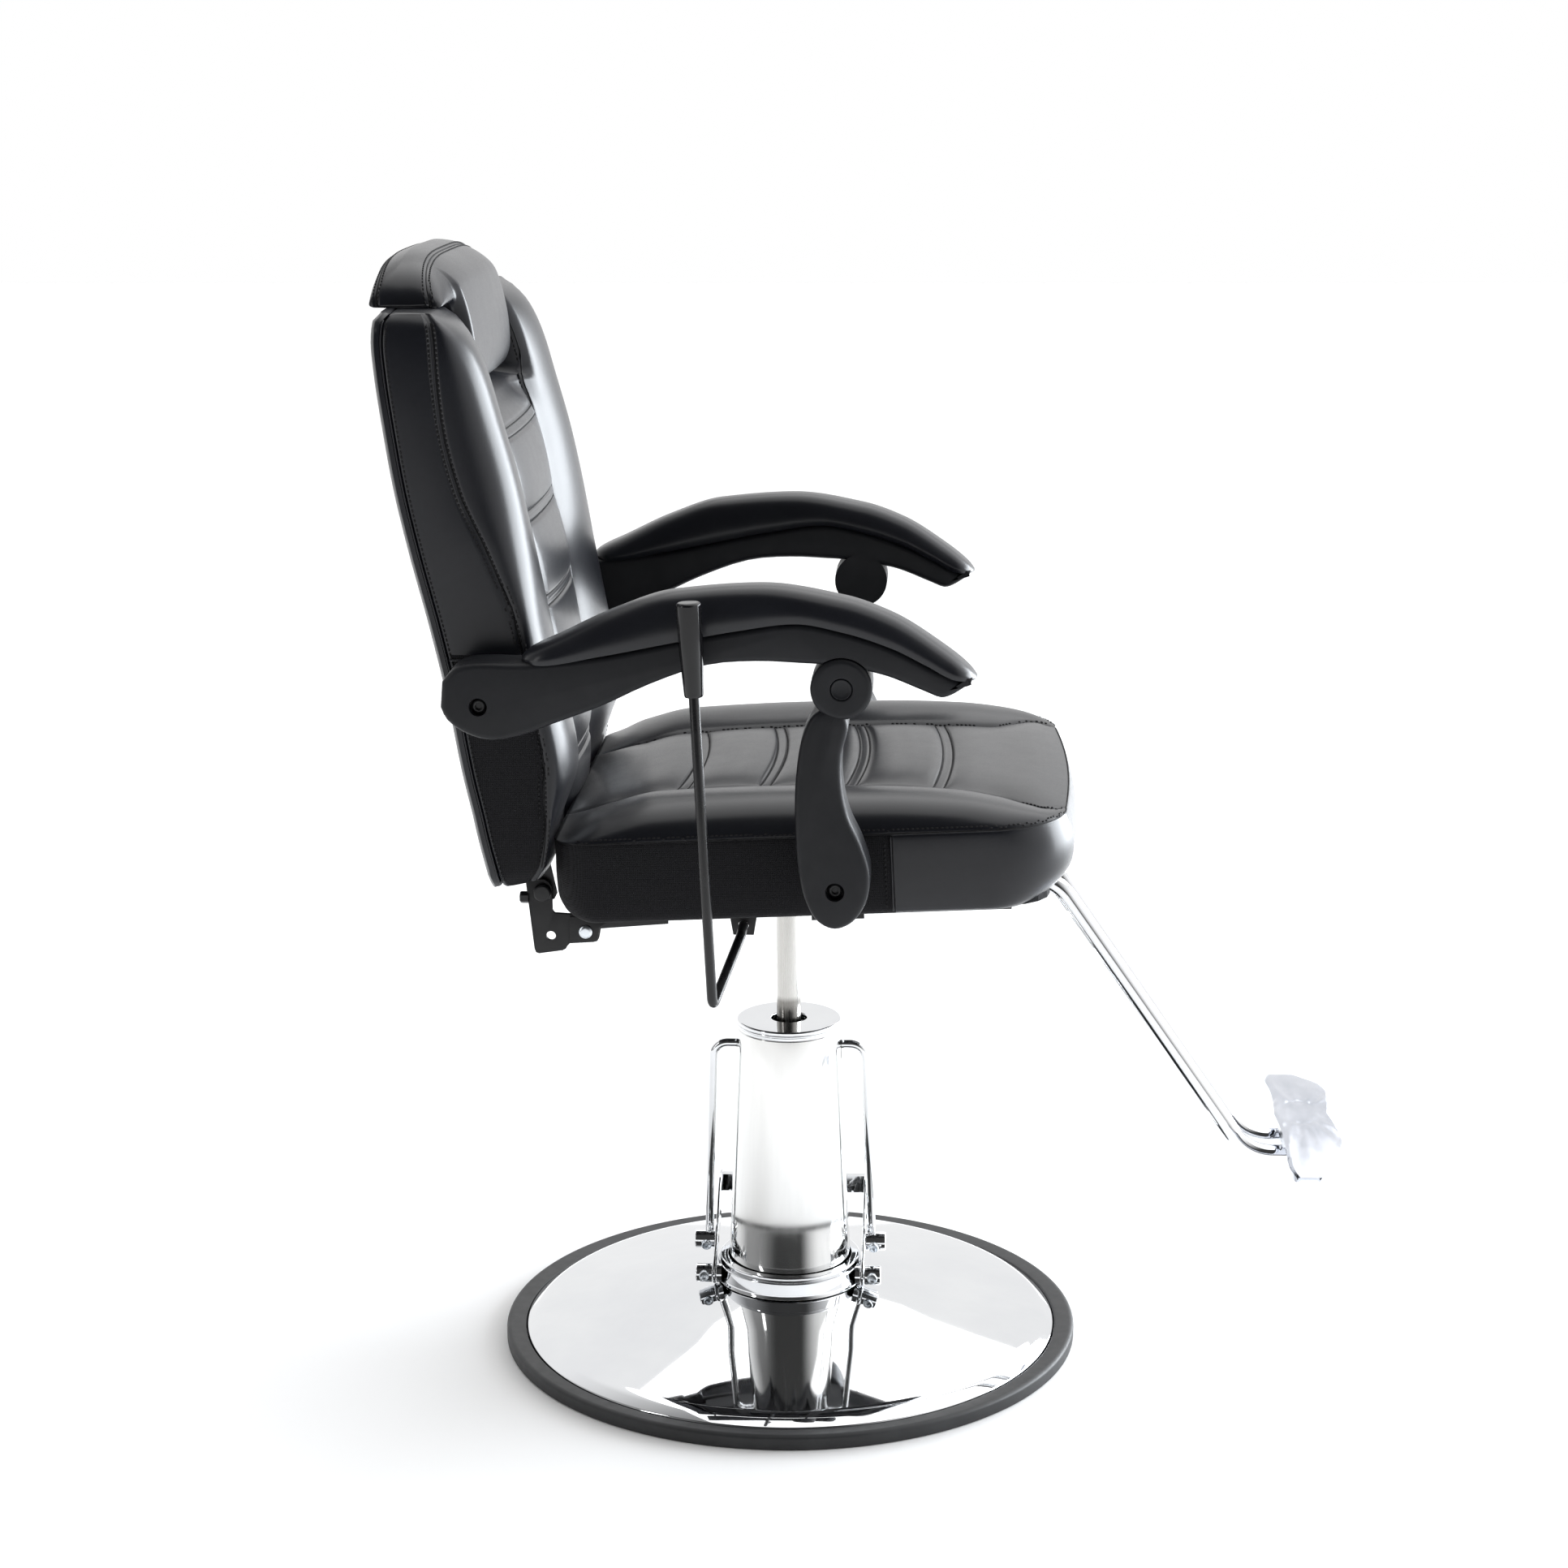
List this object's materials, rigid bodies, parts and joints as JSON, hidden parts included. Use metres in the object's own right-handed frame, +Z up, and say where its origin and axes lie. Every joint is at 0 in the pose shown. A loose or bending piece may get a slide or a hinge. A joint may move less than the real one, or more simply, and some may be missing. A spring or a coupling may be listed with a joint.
{
  "type": "styling chair",
  "caption": "Reclining hydraulic styling chair with linked armrests, sliding headrest, recline lever, tubular footrest and a round pumped base.",
  "frame": {"origin": "centre of the flat underside of the round base, on the column axis", "axes": "+X the way the sitter faces, +Y the sitter's left, +Z up"},
  "size_m": [0.9518, 0.6622, 1.1383],
  "materials": {
    "chrome": "mirror chrome plating",
    "casing_chrome": "chrome plating, slightly milky",
    "steel": "ground steel",
    "zinc": "bright zinc plating",
    "black_steel": "satin black paint",
    "trim_rubber": "satin black rubber",
    "arm_plastic": "fine textured charcoal plastic",
    "grip_plastic": "gloss black",
    "pu_leather": "soft black artificial leather with a fine grain",
    "cast_aluminium": "polished casting",
    "plywood": "raw plywood"
  },
  "bodies": {
    "base": {"base_trim_ring": "trim_rubber", "base_dish": "chrome", "base_bottom_plate": "black_steel", "pump_cylinder": "steel", "cylinder_guide_bush": "steel", "plunger_barrel": "steel", "column_casing": "casing_chrome", "column_cap": "chrome", "column_foot_collar": "chrome", "pedal_pin_front": "chrome", "pedal_pin_rear": "chrome"},
    "pedal": {"pedal_fork": "chrome", "pedal_pad": "trim_rubber"},
    "links": {"link_rod_front": "chrome", "link_rod_rear": "chrome", "rod_end_front": "chrome", "rod_end_rear": "chrome", "rod_screw_front": "zinc", "rod_screw_rear": "zinc"},
    "plunger": {"pump_crosshead": "steel", "pump_plunger": "steel", "plunger_return_spring": "steel"},
    "ram": {"ram": "steel", "ram_piston": "steel"},
    "seat": {"seat_mount": "black_steel", "seat_frame": "black_steel", "seat_board": "plywood", "seat_cushion": "pu_leather", "recline_bracket_right": "black_steel", "recline_bracket_left": "black_steel", "recline_bolt_right": "black_steel", "recline_bolt_left": "black_steel", "bracket_bolt_right": "zinc", "bracket_bolt_left": "zinc", "footrest_tube_right": "chrome", "footrest_tube_left": "chrome", "footrest_plate": "cast_aluminium", "support_bolt_right": "black_steel", "support_bolt_left": "black_steel"},
    "lever": {"lever_rod": "black_steel", "lever_grip": "grip_plastic"},
    "back": {"back_frame": "black_steel", "back_panel": "pu_leather", "back_cushion": "pu_leather", "arm_bolt_right": "black_steel", "arm_bolt_left": "black_steel"},
    "headrest": {"headrest_post_right": "chrome", "headrest_post_left": "chrome", "headrest_cushion": "pu_leather"},
    "arm_right": {"arm_frame_right": "arm_plastic", "arm_pad_right": "pu_leather"},
    "arm_left": {"arm_frame_left": "arm_plastic", "arm_pad_left": "pu_leather"},
    "support_right": {"arm_support_right": "arm_plastic", "arm_pivot_pin_right": "arm_plastic"},
    "support_left": {"arm_support_left": "arm_plastic", "arm_pivot_pin_left": "arm_plastic"},
    "gas_cylinder": {"gas_spring_cylinder": "black_steel"},
    "gas_rod": {"gas_spring_rod": "steel"}
  },
  "joints": [
    {"name": "lift", "type": "slide", "parent": "base", "child": "ram", "axis": [0, 0, 1], "range_m": [-0.14, 0.01]},
    {"name": "swivel", "type": "hinge", "parent": "ram", "child": "seat", "pos_m": [0, 0, 0.505], "axis": [0, 0, 1], "continuous": true},
    {"name": "recline", "type": "hinge", "parent": "seat", "child": "back", "pos_m": [-0.226, 0, 0.534], "axis": [0, -1, 0], "range_deg": [0, 30]},
    {"name": "headrest_slide", "type": "slide", "parent": "back", "child": "headrest", "axis": [-0.13, 0, 0.9915], "range_m": [0, 0.08]},
    {"name": "lever_pull", "type": "hinge", "parent": "seat", "child": "lever", "pos_m": [-0.034, -0.18, 0.4955], "axis": [0, -1, 0], "range_deg": [0, 12], "stiffness_Nm_per_rad": 6, "springref_deg": -8.59},
    {"name": "pedal_press", "type": "hinge", "parent": "base", "child": "pedal", "pos_m": [0, -0.03, 0.0715], "axis": [-1, 0, 0], "range_deg": [0, 12], "stiffness_Nm_per_rad": 40, "springref_deg": -14.32},
    {"name": "link_pivot", "type": "hinge", "parent": "pedal", "child": "links", "pos_m": [0, 0.012, 0.0929], "axis": [-1, 0, 0], "range_deg": [-13.2, 0]},
    {"name": "plunger_slide", "type": "slide", "parent": "base", "child": "plunger", "axis": [0, 0, 1], "range_m": [-0.0096, 0], "deforming": ["plunger_return_spring"]},
    {"name": "arm_right_pivot", "type": "hinge", "parent": "back", "child": "arm_right", "pos_m": [-0.267, -0.287, 0.739], "axis": [0, -1, 0], "range_deg": [-26.2, 0]},
    {"name": "arm_left_pivot", "type": "hinge", "parent": "back", "child": "arm_left", "pos_m": [-0.267, 0.287, 0.739], "axis": [0, -1, 0], "range_deg": [-26.2, 0]},
    {"name": "support_right_pivot", "type": "hinge", "parent": "arm_right", "child": "support_right", "pos_m": [0.066, -0.287, 0.758], "axis": [0, -1, 0], "range_deg": [0, 27.5]},
    {"name": "support_left_pivot", "type": "hinge", "parent": "arm_left", "child": "support_left", "pos_m": [0.066, 0.287, 0.758], "axis": [0, -1, 0], "range_deg": [0, 27.5]},
    {"name": "gas_cylinder_pivot", "type": "hinge", "parent": "seat", "child": "gas_cylinder", "pos_m": [0.06, 0.09, 0.47], "axis": [0, -1, 0], "range_deg": [-3, 0]},
    {"name": "gas_rod_pivot", "type": "hinge", "parent": "back", "child": "gas_rod", "pos_m": [-0.216, 0.09, 0.482], "axis": [0, -1, 0], "range_deg": [-33, 0]}
  ],
  "couplings": [
    {"joint": "link_pivot", "follows": "pedal_press", "ratio": -1.079},
    {"joint": "plunger_slide", "follows": "pedal_press", "m_per_rad": -0.0447},
    {"joint": "arm_right_pivot", "follows": "recline", "ratio": -0.86405},
    {"joint": "arm_left_pivot", "follows": "recline", "ratio": -0.86405},
    {"joint": "support_right_pivot", "follows": "recline", "ratio": 0.90692},
    {"joint": "support_left_pivot", "follows": "recline", "ratio": 0.90692},
    {"joint": "gas_cylinder_pivot", "follows": "recline", "ratio": -0.0889},
    {"joint": "gas_rod_pivot", "follows": "recline", "ratio": -1.0889}
  ]
}
